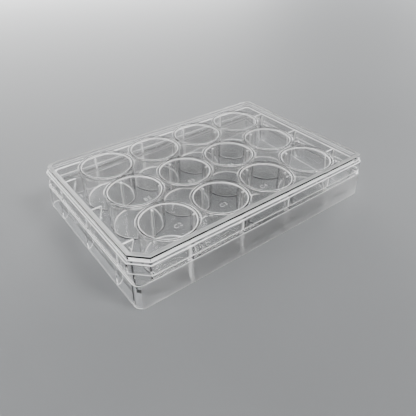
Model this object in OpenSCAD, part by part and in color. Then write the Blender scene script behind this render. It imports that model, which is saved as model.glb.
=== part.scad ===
// Twelve-well culture plate with a loose lid, both injection moulded in clear polystyrene.
// The base is an open tray: a thin floor carries the wells, a skirt carries the tray.
// Frame: origin at the centre of the footprint on the table, X along the long side, Z up.

/* [Footprint] */
// Length of the footprint, along X
plate_l = 127.76; // [126:0.01:160]
// Width of the footprint, along Y
plate_w = 85.48; // [84:0.01:110]
// Radius of the skirt's corners at the table
skirt_r = 3.8; // [2:0.1:6]

/* [Wells] */
// Number of wells along X
cols = 4; // [2:1:4]
// Number of wells along Y
rows = 3; // [2:1:3]
// Distance between neighbouring well axes
pitch = 26.01; // [25.2:0.01:26.4]
// Inside radius of a well at its floor
well_r = 11.15; // [9:0.05:11.3]
// Extra inside radius at the rim, from draft
well_draft = 0.2; // [0:0.05:0.25]
// Wall thickness of a well at its rim
well_wall = 0.9; // [0.7:0.05:1]
// Depth of a well
well_depth = 17.3; // [13:0.1:21]
// Radius between a well's floor and its wall
well_fillet = 0.7; // [0.3:0.1:2]
// Rounding of a well's rim
rim_round = 0.3; // [0.1:0.05:0.3]

/* [Tray] */
// Thickness of the floor between and under the wells
floor_t = 1.2; // [0.8:0.1:2]
// Gap between the table and the underside of the floor
floor_gap = 1.3; // [0.8:0.1:2.5]
// Distance of the tray wall's outer face from the footprint
tray_inset = 3.5; // [3.3:0.1:3.8]
// Thickness of the tray wall
tray_wall = 1.3; // [0.9:0.1:1.5]
// Depth of the tray wall's top below the well rims
tray_drop = 1.5; // [1:0.1:4]
// Cut of the one chamfered corner of the tray and the lid, measured on the lid's skirt
corner_cut = 6.6; // [4:0.1:9]
// Radius of the other corners of the tray wall
tray_r = 3; // [2:0.1:5]

/* [Skirt] */
// Height of the ledge that goes round the tray
ledge_h = 11.5; // [8:0.1:13]
// Thickness of the ledge
ledge_t = 1.2; // [0.8:0.1:2]
// Thickness of the skirt
skirt_wall = 1.2; // [0.8:0.1:1.6]
// How far the skirt leans in from the table to the ledge
skirt_draft = 0.5; // [0:0.05:0.8]

/* [Ribs] */
// Thickness of the ribs, gussets and fins
rib_t = 0.9; // [0.6:0.05:1.2]
// Gap between the table and the ribs inside the skirt
rib_lift = 0.4; // [0.2:0.1:1]
// Reach of a gusset from the tray wall, at its top
gusset_reach = 4.5; // [3:0.1:5.5]
// Depth of the web's top between two wells below the rims
web_drop = 2.8; // [1:0.1:6]

/* [Lid] */
// Wall and panel thickness of the lid
lid_t = 0.9; // [0.7:0.05:1.4]
// Height of the rings under the panel, which stand on the well rims
ring_h = 0.3; // [0.2:0.05:0.8]
// Height of the raised edge above the panel
edge_h = 0.7; // [0.4:0.05:1.5]
// Width of the raised edge at its top
edge_w = 1.7; // [1.2:0.1:3]
// Distance of the lid's skirt from the footprint
lid_inset = 0.9; // [0.6:0.05:1.2]
// Gap between the ledge and the lid's lower edge
lid_gap = 1.7; // [0.8:0.1:3]
// Height of the lower step above the lid's lower edge
step_h = 5; // [3:0.1:6]
// Rise from the lower step to the upper step
step_rise = 1.2; // [0.6:0.1:1.8]
// Width of each of the two steps
step_w = 0.45; // [0.2:0.05:0.6]
// Radius of the lid's rounded corners
lid_r = 3.2; // [2:0.1:5]

/* [Collars] */
// Gap between a well and the collar that hangs round it from the lid
collar_gap = 0.1; // [0.05:0.05:0.3]
// Wall thickness of a collar
collar_t = 0.6; // [0.4:0.05:0.7]
// How far a collar hangs below the rim
collar_drop = 1.2; // [0.4:0.1:1.2]

/* [Fins] */
// Gap between the fins on the ledge and the inside of the lid's skirt
fin_gap = 0.7; // [0.3:0.05:0.7]
// Gap between the fins' top and the step inside the lid
fin_drop = 0.4; // [0.2:0.1:1.5]

/* [Marks] */
// Radius of the raised ring round each label place
mark_r = 2.9; // [2:0.1:3]
// Width of the ring's line
mark_w = 0.3; // [0.2:0.05:0.5]
// Height of the ring
mark_h = 0.15; // [0.1:0.05:0.3]

/* [Hidden] */
$fn = 96;
corner_fn = 32;
// Overlap of one feature with the body it grows from
eps = 0.05;

floor_z = floor_gap + floor_t;
rim_z = floor_z + well_depth;
tray_z = rim_z - tray_drop;
top_r = well_r + well_draft;
well_out = top_r + well_wall;
col_x = [for (i = [0 : cols - 1]) (i - (cols - 1) / 2) * pitch];
row_y = [for (j = [0 : rows - 1]) (j - (rows - 1) / 2) * pitch];

panel_z = rim_z + ring_h;
lid_top = panel_z + lid_t + edge_h;
lid_low = ledge_h + lid_gap;
step_z = lid_low + step_h;
upper_inset = lid_inset + 2 * step_w;

// A collar ends clear of the tray wall's top and of the webs
collar_low = max(rim_z - collar_drop, tray_z + 0.3, rim_z - web_drop + 0.3);
collar_in = well_out + collar_gap;

// The chamfer keeps its place on parallel outlines: its cut shrinks as the outline moves in
function cut_at(inset) = corner_cut - (inset - lid_inset) * (2 - sqrt(2));

// Rounded rectangle, inset from the footprint, centred on the origin
module rounded(inset, r) {
    l = plate_l - 2 * inset;
    w = plate_w - 2 * inset;
    square([l - 2 * r, w], center = true);
    square([l, w - 2 * r], center = true);
    for (x = [-1, 1], y = [-1, 1])
        translate([x * (l / 2 - r), y * (w / 2 - r)]) circle(r);
}

// The same outline with the corner at -X, -Y cut off at 45 degrees
module cut_outline(inset, r) {
    cut = cut_at(inset);
    difference() {
        rounded(inset, r);
        translate([inset - plate_l / 2, inset - plate_w / 2])
            rotate(45) square([sqrt(2) * cut, 3 * cut], center = true);
    }
}

// Solid that leans in evenly from its lower outline to its upper one
module leaning(inset_low, inset_high, r, h) {
    hull() {
        linear_extrude(eps) rounded(inset_low, r, $fn = corner_fn);
        translate([0, 0, h - eps]) linear_extrude(eps) rounded(inset_high, r, $fn = corner_fn);
    }
}

// Half section of a well's wall: drafted and filleted inside, rounded at the rim
module well_section() {
    difference() {
        translate([well_r - well_fillet, floor_z - eps])
            square([well_out - well_r + well_fillet, well_depth + eps - rim_round]);
        polygon([
            [0, floor_z + well_fillet],
            [well_r, floor_z + well_fillet],
            [top_r, rim_z],
            [0, rim_z]
        ]);
        translate([well_r - well_fillet, floor_z + well_fillet]) circle(well_fillet);
    }
    translate([top_r + well_wall / 2, rim_z - rim_round]) {
        square([well_wall - 2 * rim_round, 2 * rim_round], center = true);
        for (side = [-1, 1])
            translate([side * (well_wall / 2 - rim_round), 0]) circle(rim_round);
    }
}

module well() {
    rotate_extrude() well_section();
}

// Section of the inside of a well, used to keep webs and walls out of it
module well_room() {
    translate([0, 0, floor_z]) cylinder(h = well_depth + 1, r = well_r + well_wall / 2);
}

module all_wells() {
    for (x = col_x, y = row_y) translate([x, y, 0]) children();
}

// Skirt that leans in towards the ledge, open below
module skirt() {
    difference() {
        leaning(0, skirt_draft, skirt_r, ledge_h);
        translate([0, 0, -eps])
            leaning(skirt_wall, skirt_wall + skirt_draft, skirt_r - skirt_wall, ledge_h - ledge_t + eps);
        translate([0, 0, ledge_h - ledge_t - 2 * eps])
            linear_extrude(ledge_t + 3 * eps) cut_outline(tray_inset + tray_wall / 2, tray_r);
    }
}

// Tray wall, from the underside of the floor to just below the rims
module tray() {
    difference() {
        translate([0, 0, floor_gap])
            linear_extrude(tray_z - floor_gap) cut_outline(tray_inset, tray_r);
        translate([0, 0, floor_z])
            linear_extrude(tray_z) cut_outline(tray_inset + tray_wall, tray_r - tray_wall);
    }
}

// Rib between the skirt and the tray wall, with a round lower corner; it points along +X
module skirt_rib(half) {
    inner = half - tray_inset - tray_wall / 2;
    outer = half - skirt_draft - skirt_wall / 2;
    round_r = floor_z - rib_lift;
    rotate([90, 0, 0]) translate([0, 0, -rib_t / 2]) linear_extrude(rib_t)
        difference() {
            translate([inner, rib_lift])
                square([outer - inner, ledge_h - ledge_t - rib_lift + eps]);
            translate([half - tray_inset - eps, rib_lift - eps]) difference() {
                square(round_r);
                translate([round_r, round_r]) circle(round_r);
            }
        }
}

// Fin that stands on the ledge against the tray wall and centres the lid; it points along +X
module fin(half) {
    inner = half - tray_inset - tray_wall / 2;
    outer = half - lid_inset - lid_t - fin_gap;
    translate([inner, -rib_t / 2, ledge_h - eps])
        cube([outer - inner, rib_t, step_z - lid_t - fin_drop - ledge_h + eps]);
}

// Three-cornered gusset inside the tray wall; it points along +X
module gusset(half) {
    wall_in = half - tray_inset - tray_wall + eps;
    rotate([90, 0, 0]) translate([0, 0, -rib_t / 2]) linear_extrude(rib_t)
        polygon([[wall_in, floor_z - eps], [wall_in, tray_z], [wall_in - gusset_reach, tray_z]]);
}

// Web that joins two wells where their walls come nearest
module web() {
    h = rim_z - web_drop - floor_z;
    translate([0, 0, floor_z + h / 2 - eps])
        cube([pitch - 2 * well_out + well_wall, rib_t, h + 2 * eps], center = true);
}

// Raised ring round a label place, on the floor
module mark() {
    translate([0, 0, floor_z - eps]) difference() {
        cylinder(h = mark_h + eps, r = mark_r);
        translate([0, 0, -eps]) cylinder(h = mark_h + 3 * eps, r = mark_r - mark_w);
    }
}

// Label places: each well's mark lies diagonally off it, towards -X and +Y
module marks() {
    wall_y = plate_w / 2 - tray_inset - tray_wall;
    for (x = col_x, y = row_y) {
        mark_y = min(y + pitch / 2, wall_y - mark_r - well_wall / 2);
        translate([x - pitch / 2, mark_y, 0]) mark();
    }
}

module base_plate() color([0.86, 0.9, 0.93, 0.4]) {
    difference() {
        union() {
            skirt();
            tray();
            for (side = [0, 180]) rotate(side) {
                for (y = row_y) translate([0, y, 0]) {
                    skirt_rib(plate_l / 2);
                    fin(plate_l / 2);
                    gusset(plate_l / 2);
                }
                for (x = col_x) translate([x, 0, 0]) rotate(90) {
                    skirt_rib(plate_w / 2);
                    fin(plate_w / 2);
                }
            }
        }
        all_wells() well_room();
    }
    all_wells() well();
    for (i = [0 : cols - 2], y = row_y)
        translate([col_x[i] + pitch / 2, y, 0]) web();
    for (x = col_x, j = [0 : rows - 2])
        translate([x, row_y[j] + pitch / 2, 0]) rotate(90) web();
    marks();
}

// Rings under the panel that stand on the rims, each with a collar that hangs round its well
module lid_rings() {
    difference() {
        all_wells() translate([0, 0, collar_low])
            cylinder(h = panel_z - collar_low + eps, r = collar_in + collar_t);
        all_wells() translate([0, 0, collar_low - eps])
            cylinder(h = rim_z - collar_low + eps, r = collar_in);
        all_wells() translate([0, 0, collar_low])
            cylinder(h = panel_z - collar_low + 2 * eps, r = top_r);
    }
}

// Lid shell: a skirt with two small steps, a recessed panel and a raised edge round it
module lid() color([0.9, 0.94, 0.97, 0.3]) {
    difference() {
        union() {
            translate([0, 0, lid_low]) linear_extrude(step_h) cut_outline(lid_inset, lid_r);
            translate([0, 0, step_z - eps])
                linear_extrude(step_rise + eps) cut_outline(lid_inset + step_w, lid_r);
            translate([0, 0, step_z + step_rise - eps])
                linear_extrude(lid_top - step_z - step_rise + eps) cut_outline(upper_inset, lid_r);
        }
        translate([0, 0, lid_low - eps])
            linear_extrude(step_h - lid_t + eps) cut_outline(lid_inset + lid_t, lid_r - lid_t);
        translate([0, 0, lid_low])
            linear_extrude(panel_z - lid_low) cut_outline(upper_inset + lid_t, lid_r - lid_t);
        translate([0, 0, panel_z + lid_t])
            linear_extrude(edge_h + eps) cut_outline(upper_inset + edge_w, lid_r - lid_t);
    }
    lid_rings();
}

base_plate();
lid();
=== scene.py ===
"""Looks of a twelve-well culture plate with its lid."""

import math

import bmesh
import bpy
from mathutils import Matrix, Vector


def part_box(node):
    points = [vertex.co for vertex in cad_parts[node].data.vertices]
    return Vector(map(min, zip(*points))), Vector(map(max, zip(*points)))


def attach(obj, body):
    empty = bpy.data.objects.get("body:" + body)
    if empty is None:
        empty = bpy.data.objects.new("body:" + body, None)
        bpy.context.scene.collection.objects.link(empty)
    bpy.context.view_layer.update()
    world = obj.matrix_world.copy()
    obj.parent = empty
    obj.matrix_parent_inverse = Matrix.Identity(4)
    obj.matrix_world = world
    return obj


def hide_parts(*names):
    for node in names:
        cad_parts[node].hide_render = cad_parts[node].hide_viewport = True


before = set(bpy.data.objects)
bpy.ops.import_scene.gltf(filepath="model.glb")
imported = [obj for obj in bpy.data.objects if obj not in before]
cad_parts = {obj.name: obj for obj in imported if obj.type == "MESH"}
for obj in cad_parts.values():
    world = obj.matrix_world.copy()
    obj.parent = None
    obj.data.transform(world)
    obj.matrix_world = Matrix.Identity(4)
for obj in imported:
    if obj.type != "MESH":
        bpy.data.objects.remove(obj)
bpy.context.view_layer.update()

# ---------------------------------------------------------------- sizes, in millimetres
MM = 0.001
base_low, base_high = (Vector(c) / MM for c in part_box("base_plate"))
lid_low_corner, lid_high_corner = (Vector(c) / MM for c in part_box("lid"))

PLATE_L = base_high.x - base_low.x
PLATE_W = base_high.y - base_low.y
RIM_Z = base_high.z
LID_TOP = lid_high_corner.z
LID_LOW = lid_low_corner.z

PITCH = 26.01
COLS = 4
ROW_NAMES = "CBA"
WELL_DEPTH = 17.3
WELL_R = 11.15
WELL_TOP_R = 11.35
WELL_WALL = 0.9
WELL_OUT = WELL_TOP_R + WELL_WALL
WELL_FILLET = 0.7
RIM_ROUND = 0.3

FLOOR_Z = RIM_Z - WELL_DEPTH
FLOOR_T = 1.2
TRAY_DROP = 1.5
TRAY_Z = RIM_Z - TRAY_DROP
TRAY_INSET = 3.5
TRAY_WALL = 1.3
TRAY_R = 3.0
TRAY_ROUND = 0.2

SKIRT_R = 3.8
SKIRT_WALL = 1.2
SKIRT_LEAN = 0.5
SKIRT_ROUND = 0.35
LEDGE_H = 11.5
LEDGE_T = 1.2

RIB_T = 0.9
RIB_LIFT = 0.4
GUSSET_REACH = 4.5
WEB_DROP = 2.8
FIN_GAP = 0.7
FIN_DROP = 0.4

LID_T = 0.9
LID_INSET = 0.9
LID_R = 3.2
CORNER_CUT = 6.6
STEP_H = 5.0
STEP_RISE = 1.2
STEP_W = 0.45
LOW_STEP_ROUND = 0.15
MIDDLE_STEP_ROUND = 0.12
TOP_ROUND = 0.22
EDGE_W = 1.7
EDGE_H = 0.7
RING_GAP = 0.04
COLLAR_GAP = 0.1
COLLAR_T = 0.6
COLLAR_DROP = 1.2
COLLAR_ROUND = 0.15

MARK_R = 2.9
MARK_W = 0.3
MARK_H = 0.15
LETTER_H = 2.45
LETTER_THIN = 0.05
LETTER_SPACE = 1.15
LETTER_GAP = 0.02
CAPITAL_SHARE = 0.7

# How far joined pieces run into each other, and how far a cutting block stands clear
PLATE_SUNK = 0.3
WELL_SUNK = 0.4
MARK_SUNK = 0.2
STEP_LAP = 0.4
RING_LAP = 0.2
CLEAR = 1.0

COL_X = [(i - (COLS - 1) / 2) * PITCH for i in range(COLS)]
ROW_Y = [(j - (len(ROW_NAMES) - 1) / 2) * PITCH for j in range(len(ROW_NAMES))]

ROUND_STEPS = 96
CORNER_STEPS = 10
SHARP = math.radians(30)
SAME_POINT = 1e-4

# How level a face is, by the height of its normal: past LEVEL it lies flat, under UPRIGHT it stands
LEVEL = 0.9
UPRIGHT = 0.1
WELL_STEEP = 0.5
FOOT_TILT = (0.4, 0.95)

# Finishes, and their material numbers on the moulded pieces; the edge one is painted highlight, the satin
# one partly painted sheen
WALL, EDGE_HIGHLIGHT, SATIN_AND_SHEEN, MATT, WELL = range(5)
POLYSTYRENE_IOR = 1.59
RIPPLE_STRETCH = 0.35
PAPER_GRAIN = 1.111
PAPER_RELIEF = 0.2

# Studio, in metres
FLOOR_HALF = 3.0
FLOOR_GAP = 0.0002
LAMP_AIM = (0, 0, 0.01)
AIR_LIGHT = 0.1

# Camera: place in millimetres, turn in degrees, lens in millimetres on a 36 mm sensor
CAMERA_PLACE = (-105.76, -137.57, 122.18)
CAMERA_AZIMUTH, CAMERA_ELEVATION, CAMERA_ROLL = -37.675, 36.621, 0.229
SENSOR = 36.0
LENS = 36.81


# ---------------------------------------------------------------- mesh tools
def piece_from(bm, name, materials=()):
    """Object made from a closed bmesh, still in millimetres."""
    bmesh.ops.recalc_face_normals(bm, faces=bm.faces[:])
    mesh = bpy.data.meshes.new(name)
    for material in materials or polystyrene:
        mesh.materials.append(material)
    bm.to_mesh(mesh)
    bm.free()
    obj = bpy.data.objects.new(name, mesh)
    bpy.context.scene.collection.objects.link(obj)
    return obj


def paint(bm, number, pick):
    """Gives the faces that pick chooses a material number."""
    bmesh.ops.recalc_face_normals(bm, faces=bm.faces[:])
    bm.normal_update()
    for face in bm.faces:
        if pick(face.calc_center_median(), face.normal):
            face.material_index = number
    return bm


def combine(target, tool, operation):
    """Boolean of two closed pieces; the tool piece is used up."""
    cut = target.modifiers.new(operation.lower(), "BOOLEAN")
    cut.operation = operation
    cut.solver = "MANIFOLD"
    cut.object = tool
    bpy.context.view_layer.update()
    depsgraph = bpy.context.evaluated_depsgraph_get()
    result = bpy.data.meshes.new_from_object(target.evaluated_get(depsgraph))
    target.modifiers.clear()
    target.data = result
    bpy.data.objects.remove(tool)
    return target


def finish_piece(obj):
    """To metres, smooth where the surface is round, and joined to the frame."""
    obj.data.transform(Matrix.Scale(MM, 4))
    obj.data.shade_smooth()
    obj.data.set_sharp_from_angle(angle=SHARP)
    # Normals follow the larger faces, so that flat walls bend light as flat walls do
    weighted = obj.modifiers.new("normals", "WEIGHTED_NORMAL")
    weighted.mode = "FACE_AREA"
    weighted.keep_sharp = True
    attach(obj, "root")
    return obj


def outline(bm, inset, radius, z, cut=0.0):
    """Edges of the footprint moved in by inset, with round corners and, if cut is given, one cut off."""
    half_l = PLATE_L / 2 - inset
    half_w = PLATE_W / 2 - inset
    signs = ((-1, -1), (1, -1), (1, 1), (-1, 1))
    corners = [bm.verts.new((sx * half_l, sy * half_w, z)) for sx, sy in signs]
    bm.faces.new(corners)
    rounded = corners[1:] if cut else corners
    bmesh.ops.bevel(bm, geom=rounded, affect="VERTICES", offset=radius,
                    segments=CORNER_STEPS, profile=0.5, material=-1)
    if cut:
        bmesh.ops.bevel(bm, geom=corners[:1], affect="VERTICES", offset=cut,
                        segments=1, profile=0.5, material=-1)
    return [e for e in bm.edges if all(abs(v.co.z - z) < SAME_POINT for v in e.verts)]


def cut_at(inset):
    """The corner cut keeps its place on parallel outlines: it shrinks as the outline moves in."""
    return CORNER_CUT - (inset - LID_INSET) * (2 - math.sqrt(2))


def block(z_low, z_high, inset, radius, cut=False, lean=0.0):
    """Closed block between two outlines of the footprint."""
    bm = bmesh.new()
    low = outline(bm, inset, radius, z_low, cut_at(inset) if cut else 0.0)
    high = outline(bm, inset + lean, radius, z_high, cut_at(inset + lean) if cut else 0.0)
    bmesh.ops.bridge_loops(bm, edges=low + high)
    bmesh.ops.recalc_face_normals(bm, faces=bm.faces[:])
    return bm


def soften(bm, width, segments=2, keep=None):
    """Rounds the sharp edges of a closed mesh, or those that keep picks."""
    sharp = [e for e in bm.edges if e.is_manifold and e.calc_face_angle() > SHARP]
    sharp = [e for e in sharp if keep is None or keep(e)]
    bmesh.ops.bevel(bm, geom=sharp, affect="EDGES", offset=width, segments=segments,
                    profile=0.5, material=-1, clamp_overlap=True)
    return bm


def box_block(bm, low, high):
    """Adds a box between two corners."""
    size = Vector(high) - Vector(low)
    centre = (Vector(high) + Vector(low)) / 2
    place = Matrix.Translation(centre) @ Matrix.Diagonal((*size, 1.0))
    bmesh.ops.create_cube(bm, size=1.0, matrix=place)


def turned_rings(section, places):
    """Closed rings, one at each place: the section's (radius, height) points spun round a vertical axis."""
    one = bmesh.new()
    verts = [one.verts.new((r, 0.0, z)) for r, z in section]
    edges = [one.edges.new((verts[i - 1], verts[i])) for i in range(len(verts))]
    bmesh.ops.spin(one, geom=verts + edges, cent=(0, 0, 0), axis=(0, 0, 1), dvec=(0, 0, 0),
                   angle=math.tau, steps=ROUND_STEPS, use_merge=True, use_duplicate=False)
    ring = bpy.data.meshes.new("ring")
    one.to_mesh(ring)
    one.free()
    bm = bmesh.new()
    for x, y in places:
        copy = ring.copy()
        copy.transform(Matrix.Translation((x, y, 0)))
        bm.from_mesh(copy)
        bpy.data.meshes.remove(copy)
    bpy.data.meshes.remove(ring)
    return bm


def arc(centre, radius, start, end, steps):
    """Points of an arc in a section, angles in degrees."""
    turn = [math.radians(start + (end - start) * i / steps) for i in range(steps + 1)]
    return [(centre[0] + radius * math.cos(a), centre[1] + radius * math.sin(a)) for a in turn]


def well_places():
    """Well names with the places of their axes."""
    return [(f"{row}{i + 1}", x, y) for row, y in zip(ROW_NAMES, ROW_Y) for i, x in enumerate(COL_X)]


def off_axis(point):
    """Distance from the axis of the nearest well."""
    return min(math.hypot(point.x - x, point.y - y) for _, x, y in well_places())


# ---------------------------------------------------------------- base plate
def skirt():
    """Leaning skirt with its ledge, open below and inside."""
    outer = soften(block(0.0, LEDGE_H, 0.0, SKIRT_R, lean=SKIRT_LEAN), SKIRT_ROUND, 3)
    paint(outer, SATIN_AND_SHEEN, lambda c, n: abs(n.y) > LEVEL)
    # Painted highlight on the bottom and the rounded edges of the skirt
    paint(outer, EDGE_HIGHLIGHT, lambda c, n: n.z < -UPRIGHT or UPRIGHT < n.z < LEVEL)
    shell = piece_from(outer, "base_shell")
    hollow = block(-CLEAR, LEDGE_H - LEDGE_T, SKIRT_WALL, SKIRT_R - SKIRT_WALL, lean=SKIRT_LEAN)
    combine(shell, piece_from(hollow, "hollow"), "DIFFERENCE")
    window = block(LEDGE_H - 2 * LEDGE_T, LEDGE_H + CLEAR, TRAY_INSET + TRAY_WALL / 2, TRAY_R, cut=True)
    return combine(shell, piece_from(window, "window"), "DIFFERENCE")


def tray():
    """Floor and tray wall."""
    outer = soften(block(FLOOR_Z - FLOOR_T, TRAY_Z, TRAY_INSET, TRAY_R, cut=True), TRAY_ROUND,
                   keep=lambda e: all(v.co.z > FLOOR_Z for v in e.verts))
    # Painted highlight on the top of the tray wall and its rounded edges
    paint(outer, EDGE_HIGHLIGHT, lambda c, n: n.z > UPRIGHT)
    shell = piece_from(outer, "tray")
    inside = TRAY_INSET + TRAY_WALL
    room = block(FLOOR_Z, TRAY_Z + CLEAR, inside, TRAY_R - TRAY_WALL, cut=True)
    return combine(shell, piece_from(room, "room"), "DIFFERENCE")


def plate_of(bm, section, to_place, finish):
    """Adds a thin upright plate from its side view, with the given finish on its two sides."""
    verts = [bm.verts.new((u, -RIB_T / 2, z)) for u, z in section]
    face = bm.faces.new(verts)
    made = bmesh.ops.extrude_face_region(bm, geom=[face])["geom"]
    top = [g for g in made if isinstance(g, bmesh.types.BMVert)]
    bmesh.ops.translate(bm, verts=top, vec=(0, RIB_T, 0))
    near = {f for v in verts for f in v.link_faces}
    far = {f for v in top for f in v.link_faces}
    for side in near ^ far:
        side.material_index = finish
    # The narrow rim round each plate carries the painted edge highlight
    for rim in near & far:
        rim.material_index = EDGE_HIGHLIGHT
    bmesh.ops.transform(bm, verts=verts + top, matrix=to_place)


def skirt_rib_section(half):
    """Side view of a rib under the ledge, with its round lower corner."""
    inner = half - TRAY_INSET - TRAY_WALL / 2
    outer = half - SKIRT_LEAN - SKIRT_WALL / 2
    face = half - TRAY_INSET
    r = FLOOR_Z - RIB_LIFT
    return [
        (inner, LEDGE_H - LEDGE_T / 2),
        (inner, FLOOR_Z),
        *arc((face + r, FLOOR_Z), r, 180, 270, 6),
        (outer, RIB_LIFT),
        (outer, LEDGE_H - LEDGE_T / 2),
    ]


def fin_section(half):
    """Side view of a fin that stands on the ledge against the tray wall and centres the lid."""
    inner = half - TRAY_INSET - TRAY_WALL / 2
    outer = half - LID_INSET - LID_T - FIN_GAP
    top = LID_LOW + STEP_H - LID_T - FIN_DROP
    return [(inner, LEDGE_H - LEDGE_T / 2), (outer, LEDGE_H - LEDGE_T / 2), (outer, top), (inner, top)]


def gusset_section(half):
    """Side view of a three-cornered gusset inside the tray wall."""
    wall_in = half - TRAY_INSET - TRAY_WALL / 2
    face = half - TRAY_INSET - TRAY_WALL
    return [
        (wall_in, FLOOR_Z - PLATE_SUNK),
        (face, FLOOR_Z - PLATE_SUNK),
        (face, FLOOR_Z),
        (face - GUSSET_REACH, TRAY_Z),
        (wall_in, TRAY_Z),
    ]


def ribs_and_gussets():
    """A rib and a fin at the end of each row and column of wells, and a gusset too on the short sides."""
    bm = bmesh.new()
    for side in (0.0, math.pi):
        turn = Matrix.Rotation(side, 4, "Z")
        for y in ROW_Y:
            place = turn @ Matrix.Translation((0, y, 0))
            plate_of(bm, skirt_rib_section(PLATE_L / 2), place, WALL)
            plate_of(bm, fin_section(PLATE_L / 2), place, SATIN_AND_SHEEN)
            plate_of(bm, gusset_section(PLATE_L / 2), place, WELL)
        for x in COL_X:
            place = turn @ Matrix.Translation((x, 0, 0)) @ Matrix.Rotation(math.pi / 2, 4, "Z")
            # The long-side ribs are painted all over with the edge highlight, so that they read as pale
            # lines
            plate_of(bm, skirt_rib_section(PLATE_W / 2), place, EDGE_HIGHLIGHT)
            plate_of(bm, fin_section(PLATE_W / 2), place, SATIN_AND_SHEEN)
    return bm


def webs():
    """Webs that join neighbouring wells where their walls come nearest."""
    bm = bmesh.new()
    reach = (PITCH - 2 * WELL_OUT + WELL_WALL) / 2
    low, high = FLOOR_Z - PLATE_SUNK, RIM_Z - WEB_DROP
    for i in range(COLS - 1):
        for y in ROW_Y:
            x = COL_X[i] + PITCH / 2
            box_block(bm, (x - reach, y - RIB_T / 2, low), (x + reach, y + RIB_T / 2, high))
    for x in COL_X:
        for j in range(len(ROW_Y) - 1):
            y = ROW_Y[j] + PITCH / 2
            box_block(bm, (x - RIB_T / 2, y - reach, low), (x + RIB_T / 2, y + reach, high))
    # Painted sheen on the sides and painted highlight on the tops, so that the webs read as pale lines
    paint(bm, SATIN_AND_SHEEN, lambda c, n: True)
    return paint(bm, EDGE_HIGHLIGHT, lambda c, n: n.z > LEVEL)


def well_section():
    """Half section of a well's wall: drafted and filleted inside, rounded at the rim."""
    sunk = FLOOR_Z - WELL_SUNK
    inner_rim = (WELL_TOP_R + RIM_ROUND, RIM_Z - RIM_ROUND)
    outer_rim = (WELL_OUT - RIM_ROUND, RIM_Z - RIM_ROUND)
    foot = (WELL_R - WELL_FILLET, FLOOR_Z + WELL_FILLET)
    return [
        (WELL_OUT, sunk),
        *arc(outer_rim, RIM_ROUND, 0, 90, 4),
        *arc(inner_rim, RIM_ROUND, 90, 180, 4),
        *arc(foot, WELL_FILLET, 0, -90, 5),
        (WELL_R - WELL_FILLET, sunk),
    ]


def wells():
    """The wells' walls, with painted highlight lines at the inner edge of the rim and at the foot."""
    rings = turned_rings(well_section(), [(x, y) for _, x, y in well_places()])
    inner_edge = WELL_TOP_R + RIM_ROUND
    foot_low, foot_high = FOOT_TILT
    paint(rings, WELL, lambda c, n: abs(n.z) < WELL_STEEP)
    paint(rings, EDGE_HIGHLIGHT, lambda c, n: c.z < FLOOR_Z + WELL_FILLET and foot_low < n.z < foot_high)
    return paint(rings, EDGE_HIGHLIGHT, lambda c, n: c.z > RIM_Z - RIM_ROUND and off_axis(c) < inner_edge)


def well_rooms():
    """The inside of the wells, to keep the tray wall out of them."""
    radius = WELL_R + WELL_WALL / 2
    bm = bmesh.new()
    for _, x, y in well_places():
        place = Matrix.Translation((x, y, (FLOOR_Z + RIM_Z + CLEAR) / 2))
        bmesh.ops.create_cone(bm, cap_ends=True, segments=ROUND_STEPS, radius1=radius,
                              radius2=radius, depth=WELL_DEPTH + CLEAR, matrix=place)
    return bm


def mark_places():
    """Where each well's label stands: diagonally off the well, towards -X and +Y."""
    wall_y = PLATE_W / 2 - TRAY_INSET - TRAY_WALL
    for name, x, y in well_places():
        yield name, x - PITCH / 2, min(y + PITCH / 2, wall_y - MARK_R - WELL_WALL / 2)


def mark_rings():
    """Raised rings round the labels."""
    section = [(MARK_R, FLOOR_Z - MARK_SUNK), (MARK_R, FLOOR_Z + MARK_H),
               (MARK_R - MARK_W, FLOOR_Z + MARK_H), (MARK_R - MARK_W, FLOOR_Z - MARK_SUNK)]
    return turned_rings(section, [(x, y) for _, x, y in mark_places()])


def base_plate():
    """The whole base as one moulding."""
    body = skirt()
    combine(body, tray(), "UNION")
    combine(body, piece_from(ribs_and_gussets(), "ribs"), "UNION")
    combine(body, piece_from(well_rooms(), "rooms"), "DIFFERENCE")
    combine(body, piece_from(wells(), "wells"), "UNION")
    combine(body, piece_from(webs(), "webs"), "UNION")
    combine(body, piece_from(mark_rings(), "marks"), "UNION")
    body.name = "moulded_base"
    return body


# ---------------------------------------------------------------- lid
def lid_block(z_low, z_high, inset, width, segments=2):
    """One step of the lid, upright sides clear and all else painted with the edge highlight."""
    step = soften(block(z_low, z_high, inset, LID_R, cut=True), width, segments)
    return paint(step, EDGE_HIGHLIGHT, lambda c, n: abs(n.z) > UPRIGHT)


def lid_rings(panel_z):
    """Rings that stand on the rims, each with a collar that hangs round its well."""
    inner = WELL_OUT + COLLAR_GAP
    outer = inner + COLLAR_T
    low = RIM_Z - COLLAR_DROP + COLLAR_ROUND
    section = [
        (outer, panel_z + RING_LAP),
        *arc((outer - COLLAR_ROUND, low), COLLAR_ROUND, 0, -90, 3),
        *arc((inner + COLLAR_ROUND, low), COLLAR_ROUND, -90, -180, 3),
        (inner, RIM_Z + RING_GAP),
        (WELL_TOP_R, RIM_Z + RING_GAP),
        (WELL_TOP_R, panel_z + RING_LAP),
    ]
    rings = turned_rings(section, [(x, y) for _, x, y in well_places()])
    # Painted highlight on the outer half of each collar's lower edge
    return paint(rings, EDGE_HIGHLIGHT, lambda c, n: c.z < low and off_axis(c) > (inner + outer) / 2)


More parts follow.
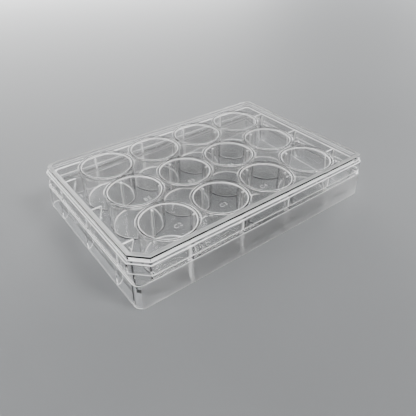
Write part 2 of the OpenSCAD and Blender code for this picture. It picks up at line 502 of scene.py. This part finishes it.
def lid():
    """The whole lid as one moulding."""
    step_z = LID_LOW + STEP_H
    upper_inset = LID_INSET + 2 * STEP_W
    panel_z = LID_TOP - EDGE_H - LID_T
    top_z = step_z + STEP_RISE

    low = lid_block(LID_LOW, step_z, LID_INSET, LOW_STEP_ROUND)
    body = piece_from(low, "lid_low_step")
    middle = lid_block(step_z - STEP_LAP, top_z, LID_INSET + STEP_W, MIDDLE_STEP_ROUND)
    combine(body, piece_from(middle, "lid_middle"), "UNION")
    upper = lid_block(top_z - STEP_LAP, LID_TOP, upper_inset, TOP_ROUND, 3)
    # Painted sheen on the top of the raised edge: the satin finish makes a faint pale band round the lid
    paint(upper, SATIN_AND_SHEEN, lambda c, n: n.z > LEVEL)
    combine(body, piece_from(upper, "lid_upper"), "UNION")
    wide = block(LID_LOW - CLEAR, step_z - LID_T, LID_INSET + LID_T, LID_R - LID_T, cut=True)
    combine(body, piece_from(wide, "lid_wide"), "DIFFERENCE")
    room = block(LID_LOW - CLEAR, panel_z, upper_inset + LID_T, LID_R - LID_T, cut=True)
    combine(body, piece_from(room, "lid_room"), "DIFFERENCE")
    recess = block(LID_TOP - EDGE_H, LID_TOP + CLEAR, upper_inset + EDGE_W, LID_R - LID_T, cut=True)
    combine(body, piece_from(recess, "lid_recess"), "DIFFERENCE")
    combine(body, piece_from(lid_rings(panel_z), "lid_rings"), "UNION")
    body.name = "moulded_lid"
    return body


# ---------------------------------------------------------------- labels
def labels():
    """Raised well names on the floor, a letter for the row and a number for the column."""
    bm = bmesh.new()
    for name, x, y in mark_places():
        curve = bpy.data.curves.new("label", "FONT")
        curve.body = name
        curve.size = LETTER_H / CAPITAL_SHARE
        curve.align_x = "CENTER"
        curve.align_y = "CENTER"
        curve.extrude = MARK_H / 2
        curve.offset = -LETTER_THIN
        curve.space_character = LETTER_SPACE
        holder = bpy.data.objects.new("label", curve)
        bpy.context.scene.collection.objects.link(holder)
        bpy.context.view_layer.update()
        depsgraph = bpy.context.evaluated_depsgraph_get()
        mesh = bpy.data.meshes.new_from_object(holder.evaluated_get(depsgraph))
        mesh.transform(Matrix.Translation((x, y, FLOOR_Z + MARK_H / 2 + LETTER_GAP)))
        bm.from_mesh(mesh)
        bpy.data.objects.remove(holder)
        bpy.data.curves.remove(curve)
    bmesh.ops.remove_doubles(bm, verts=bm.verts[:], dist=SAME_POINT)
    return piece_from(paint(bm, MATT, lambda c, n: True), "well_labels")


# ---------------------------------------------------------------- materials
def linear(hex_value):
    """sRGB hex to linear colour."""
    parts = [int(hex_value[i:i + 2], 16) / 255 for i in (0, 2, 4)]
    return [c / 12.92 if c <= 0.04045 else ((c + 0.055) / 1.055) ** 2.4 for c in parts] + [1.0]


def add_node(tree, kind, settings=None, links=None):
    """Adds a node, sets its sockets and properties, and links sockets from other nodes."""
    node = tree.nodes.new(kind)
    for key, value in (settings or {}).items():
        if key in node.inputs:
            node.inputs[key].default_value = value
        else:
            setattr(node, key, value)
    for key, source in (links or {}).items():
        tree.links.new(source, node.inputs[key])
    return node


def new_material(name):
    """Empty node material with its tree."""
    material = bpy.data.materials.new(name)
    material.use_nodes = True
    material.node_tree.nodes.clear()
    return material, material.node_tree


def moulded_polystyrene(name, colour, roughness, clearness, shade, ripple_mm, ripple_depth):
    """General-purpose polystyrene with the slight ripple of a moulded wall.

    Clearness runs from 0, milky, to 1, clear as glass. Shade is the share of a lamp's light that a
    wall lets past. The ripple has its length and its depth in millimetres.
    """
    material, tree = new_material(name)
    place = add_node(tree, "ShaderNodeTexCoord").outputs["Object"]
    # Ripples run up the wall as the melt flowed, so they are longer upwards than round
    turned = add_node(tree, "ShaderNodeMapping", {"Scale": (1.0, 1.0, RIPPLE_STRETCH)}, {"Vector": place})
    ripple = add_node(tree, "ShaderNodeTexNoise", {"Scale": 1 / (ripple_mm * MM), "Detail": 1.0},
                      {"Vector": turned.outputs["Vector"]})
    bump = add_node(tree, "ShaderNodeBump", {"Strength": 1.0, "Distance": ripple_depth * MM},
                    {"Height": ripple.outputs["Fac"]})
    plastic = add_node(tree, "ShaderNodeBsdfPrincipled", {
        "Base Color": linear(colour),
        "Roughness": roughness,
        "IOR": POLYSTYRENE_IOR,
        "Transmission Weight": clearness,
    }, {"Normal": bump.outputs["Normal"]})
    # Lamps shine through the walls, which cast a pale shadow and not a black one
    lamps = add_node(tree, "ShaderNodeBsdfTransparent", {"Color": linear(shade)})
    path = add_node(tree, "ShaderNodeLightPath")
    shown = add_node(tree, "ShaderNodeMixShader")
    tree.links.new(path.outputs["Is Shadow Ray"], shown.inputs[0])
    tree.links.new(plastic.outputs["BSDF"], shown.inputs[1])
    tree.links.new(lamps.outputs["BSDF"], shown.inputs[2])
    add_node(tree, "ShaderNodeOutputMaterial", None, {"Surface": shown.outputs["Shader"]})
    return material


def pale_paper():
    """Matt paper, with a grain drawn coarse enough to soften the gloss."""
    material, tree = new_material("pale_paper")
    place = add_node(tree, "ShaderNodeTexCoord").outputs["Object"]
    grain = add_node(tree, "ShaderNodeTexNoise", {"Scale": 1 / (PAPER_GRAIN * MM), "Detail": 3.0},
                     {"Vector": place})
    bump = add_node(tree, "ShaderNodeBump", {"Strength": 0.05, "Distance": PAPER_RELIEF * MM},
                    {"Height": grain.outputs["Fac"]})
    paper = add_node(tree, "ShaderNodeBsdfPrincipled", {
        "Base Color": linear("8E9092"),
        "Roughness": 0.75,
    }, {"Normal": bump.outputs["Normal"]})
    add_node(tree, "ShaderNodeOutputMaterial", None, {"Surface": paper.outputs["BSDF"]})
    return material


# ---------------------------------------------------------------- the object
polystyrene = [
    # Off polished steel: clear as glass, with a long and very faint ripple
    moulded_polystyrene("polished_clear_polystyrene", "FCFCFC", 0.02, 1.0, "F0F0F0", 7.0, 0.002),
    # Painted highlight: clear plastic gathers light at its edges, and this finish, made far milkier than
    # the real edge, paints that light in, so that edges, rims and the ribs of the long sides read as pale
    # lines
    moulded_polystyrene("clear_polystyrene_painted_edge_highlights", "FCFCFC", 0.3, 0.2, "808080", 2.0, 0.002),
    # Taken to be off a lightly blasted mould face: a soft grey veil over what lies behind. On the lid's
    # raised edge and on the sides of the webs it is painted sheen instead, a faint pale band
    moulded_polystyrene("satin_clear_polystyrene_and_painted_sheen", "C8C8C8", 0.28, 0.75, "707070", 5.0, 0.004),
    # Letters left rough in the mould: pale marks on the clear floor
    moulded_polystyrene("matt_clear_polystyrene", "FCFCFC", 0.5, 0.1, "C8C8C8", 1.0, 0.002),
    # Drawn off long cores: clear, with a shorter ripple on the walls of the wells and the gussets
    moulded_polystyrene("rippled_clear_polystyrene", "FCFCFC", 0.04, 0.98, "E8E8E8", 2.5, 0.006),
]
base = finish_piece(base_plate())
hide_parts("base_plate")
cover = finish_piece(lid())
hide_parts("lid")
finish_piece(labels())


# ---------------------------------------------------------------- studio
def softbox(name, place, width, height, power):
    """Flat lamp that faces the plate, placed in metres, with its power in watts."""
    light = bpy.data.lights.new(name, "AREA")
    light.shape = "RECTANGLE"
    light.size = width
    light.size_y = height
    light.energy = power
    holder = bpy.data.objects.new(name, light)
    holder.location = place
    aim = Vector(LAMP_AIM) - Vector(place)
    holder.rotation_euler = aim.to_track_quat("-Z", "Y").to_euler()
    bpy.context.scene.collection.objects.link(holder)


def studio():
    """Pale floor, one lamp above and low strips round the plate, in dim air."""
    bm = bmesh.new()
    bmesh.ops.create_grid(bm, x_segments=1, y_segments=1, size=FLOOR_HALF)
    floor = piece_from(bm, "studio_floor", [pale_paper()])
    floor.location.z = -FLOOR_GAP

    softbox("key_box", (0.45, -0.6, 0.85), 0.4, 0.4, 11)
    softbox("back_strip", (0.2, 0.9, 0.12), 1.2, 0.12, 28)
    softbox("left_strip", (-0.9, 0.1, 0.1), 0.6, 0.1, 13)
    softbox("right_strip", (0.9, 0.0, 0.1), 0.6, 0.1, 9)

    world = bpy.data.worlds.new("studio_air")
    world.use_nodes = True
    air = world.node_tree.nodes["Background"]
    air.inputs["Color"].default_value = linear("FFFFFF")
    air.inputs["Strength"].default_value = AIR_LIGHT
    bpy.context.scene.world = world


def camera():
    """Camera that looks down over the cut corner."""
    turns = (CAMERA_AZIMUTH, CAMERA_ELEVATION, CAMERA_ROLL)
    azimuth, elevation, roll = (math.radians(a) for a in turns)
    back = Vector((math.sin(azimuth) * math.cos(elevation), -math.cos(azimuth) * math.cos(elevation),
                   math.sin(elevation)))
    right = Vector((math.cos(azimuth), math.sin(azimuth), 0))
    up = back.cross(right)
    turn = Matrix((right, up, back)).transposed() @ Matrix.Rotation(roll, 3, "Z")
    lens = bpy.data.cameras.new("camera")
    lens.sensor_width = SENSOR
    lens.lens = LENS
    lens.clip_start = 0.01
    holder = bpy.data.objects.new("camera", lens)
    holder.matrix_world = Matrix.Translation(Vector(CAMERA_PLACE) * MM) @ turn.to_4x4()
    bpy.context.scene.collection.objects.link(holder)
    bpy.context.scene.camera = holder


studio()
camera()
